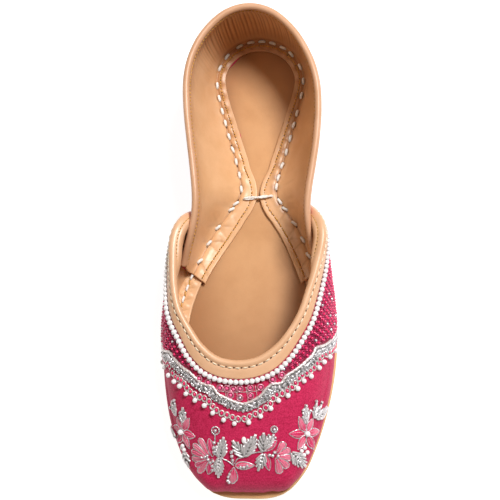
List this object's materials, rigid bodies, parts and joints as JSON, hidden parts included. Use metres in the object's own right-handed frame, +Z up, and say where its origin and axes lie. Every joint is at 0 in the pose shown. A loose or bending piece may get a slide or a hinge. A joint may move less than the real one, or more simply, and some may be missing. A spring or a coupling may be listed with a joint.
{
  "type": "mojari shoe",
  "caption": "Flat slip-on jutti shoe with a beaded and embroidered silk vamp, a leather-lined quarter and a slim leather sole",
  "frame": {"origin": "on the floor under the middle of the shoe's box, where the sole rests", "axes": "+Z up, +Y along the shoe from the toe to the heel, +X towards the little toe of this left shoe"},
  "size_m": [0.0889, 0.25, 0.0535],
  "materials": {
    "sole_leather": "waxed tan sole leather, matt",
    "insole_leather": "smooth tan leather, satin",
    "silk": "plain-weave magenta silk, soft sheen",
    "lining_leather": "soft tan glove leather, satin",
    "pearl": "cream pearl bead, glossy",
    "silver": "silver coil thread and beads",
    "pink_bead": "pink glass bead, glossy",
    "pink_thread": "pink satin-stitch silk thread",
    "white_thread": "waxed white cotton thread",
    "tan_thread": "fine tan thread"
  },
  "bodies": {
    "root": {"outsole": "sole_leather", "insole": "insole_leather", "vamp": "silk", "quarter": "lining_leather"}
  },
  "joints": []
}
